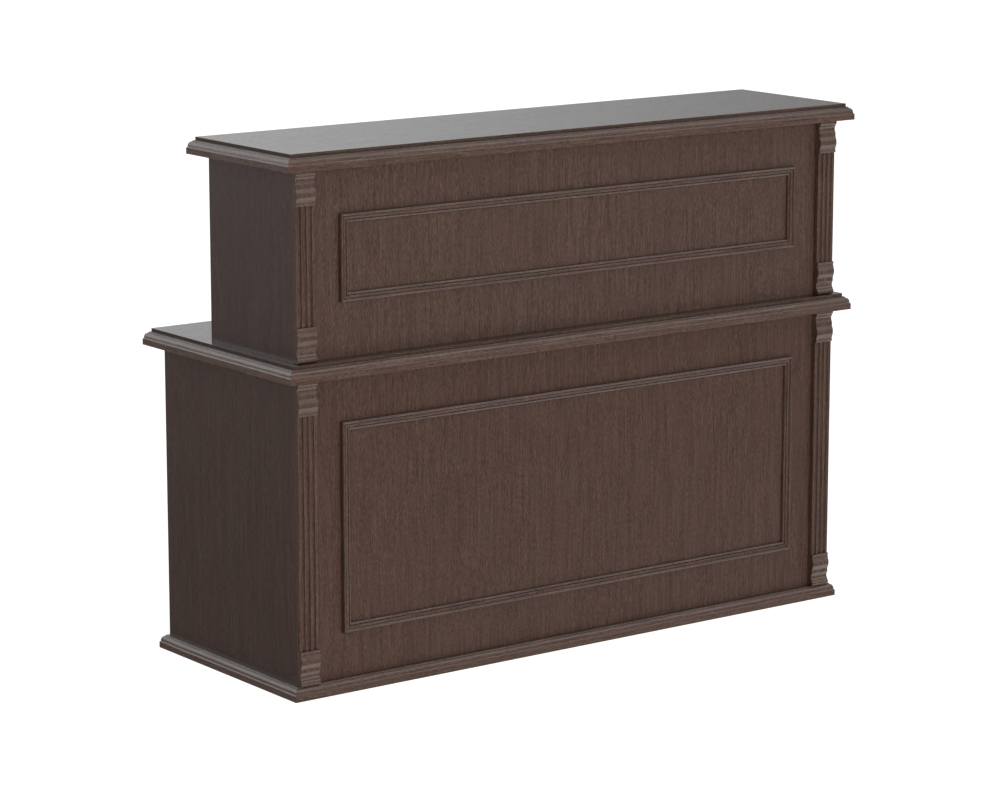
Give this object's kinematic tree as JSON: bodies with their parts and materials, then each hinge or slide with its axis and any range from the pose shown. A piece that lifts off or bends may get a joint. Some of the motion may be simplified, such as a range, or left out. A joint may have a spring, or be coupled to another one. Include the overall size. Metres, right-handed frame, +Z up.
{
  "type": "two-tier panelled counter",
  "caption": "Two-tier wooden counter with a raised top, moulded edges, fluted pilasters, framed front panels and an open staff side.",
  "frame": {"origin": "on the floor, under the middle of the outer box", "axes": "+Z up; +X along the counter, to the right as seen from in front; -Y towards the public's side, where the panel frames are; +Y towards the open staff side"},
  "size_m": [1.6, 0.61, 1.2],
  "materials": {
    "wenge_veneer": "dark wenge veneer with fine straight grain, satin lacquer",
    "wenge_moulding": "wenge-stained moulded wood, satin lacquer",
    "beech": "plain fluted beech dowel, unfinished",
    "zinc_alloy": "die-cast zinc, dull",
    "bright_steel": "bright zinc-plated steel",
    "black_plastic": "matt black moulded plastic"
  },
  "bodies": {
    "counter": {"base_board": "wenge_veneer", "base_edge_back": "wenge_moulding", "base_edge_front": "wenge_moulding", "base_edge_left": "wenge_moulding", "base_edge_right": "wenge_moulding", "cam_bolts": "bright_steel", "cam_housings": "zinc_alloy", "counter_top_board": "wenge_veneer", "counter_top_edge_back": "wenge_moulding", "counter_top_edge_front": "wenge_moulding", "counter_top_edge_left": "wenge_moulding", "counter_top_edge_right": "wenge_moulding", "dowels": "beech", "levelling_access_caps": "black_plastic", "levelling_inserts": "zinc_alloy", "lower_frame_bottom": "wenge_moulding", "lower_frame_left": "wenge_moulding", "lower_frame_right": "wenge_moulding", "lower_frame_top": "wenge_moulding", "lower_front_panel": "wenge_veneer", "lower_left_pilaster": "wenge_moulding", "lower_left_pilaster_cap": "wenge_moulding", "lower_left_pilaster_foot": "wenge_moulding", "lower_left_side_panel": "wenge_veneer", "lower_right_pilaster": "wenge_moulding", "lower_right_pilaster_cap": "wenge_moulding", "lower_right_pilaster_foot": "wenge_moulding", "lower_right_side_panel": "wenge_veneer", "upper_frame_bottom": "wenge_moulding", "upper_frame_left": "wenge_moulding", "upper_frame_right": "wenge_moulding", "upper_frame_top": "wenge_moulding", "upper_front_panel": "wenge_veneer", "upper_left_pilaster": "wenge_moulding", "upper_left_pilaster_cap": "wenge_moulding", "upper_left_pilaster_foot": "wenge_moulding", "upper_left_side_panel": "wenge_veneer", "upper_right_pilaster": "wenge_moulding", "upper_right_pilaster_cap": "wenge_moulding", "upper_right_pilaster_foot": "wenge_moulding", "upper_right_side_panel": "wenge_veneer", "worktop_board": "wenge_veneer", "worktop_edge_back": "wenge_moulding", "worktop_edge_front": "wenge_moulding", "worktop_edge_left": "wenge_moulding", "worktop_edge_right": "wenge_moulding"},
    "foot_front_left": {"levelling_pad_front_left": "black_plastic", "levelling_screw_front_left": "bright_steel"},
    "foot_front_middle": {"levelling_pad_front_middle": "black_plastic", "levelling_screw_front_middle": "bright_steel"},
    "foot_front_right": {"levelling_pad_front_right": "black_plastic", "levelling_screw_front_right": "bright_steel"},
    "foot_rear_left": {"levelling_pad_rear_left": "black_plastic", "levelling_screw_rear_left": "bright_steel"},
    "foot_rear_middle": {"levelling_pad_rear_middle": "black_plastic", "levelling_screw_rear_middle": "bright_steel"},
    "foot_rear_right": {"levelling_pad_rear_right": "black_plastic", "levelling_screw_rear_right": "bright_steel"}
  },
  "joints": [
    {"name": "level_front_left", "type": "slide", "parent": "counter", "child": "foot_front_left", "axis": [0, 0, -1], "range_m": [0, 0.01]},
    {"name": "level_front_middle", "type": "slide", "parent": "counter", "child": "foot_front_middle", "axis": [0, 0, -1], "range_m": [0, 0.01]},
    {"name": "level_front_right", "type": "slide", "parent": "counter", "child": "foot_front_right", "axis": [0, 0, -1], "range_m": [0, 0.01]},
    {"name": "level_rear_left", "type": "slide", "parent": "counter", "child": "foot_rear_left", "axis": [0, 0, -1], "range_m": [0, 0.01]},
    {"name": "level_rear_middle", "type": "slide", "parent": "counter", "child": "foot_rear_middle", "axis": [0, 0, -1], "range_m": [0, 0.01]},
    {"name": "level_rear_right", "type": "slide", "parent": "counter", "child": "foot_rear_right", "axis": [0, 0, -1], "range_m": [0, 0.01]}
  ]
}
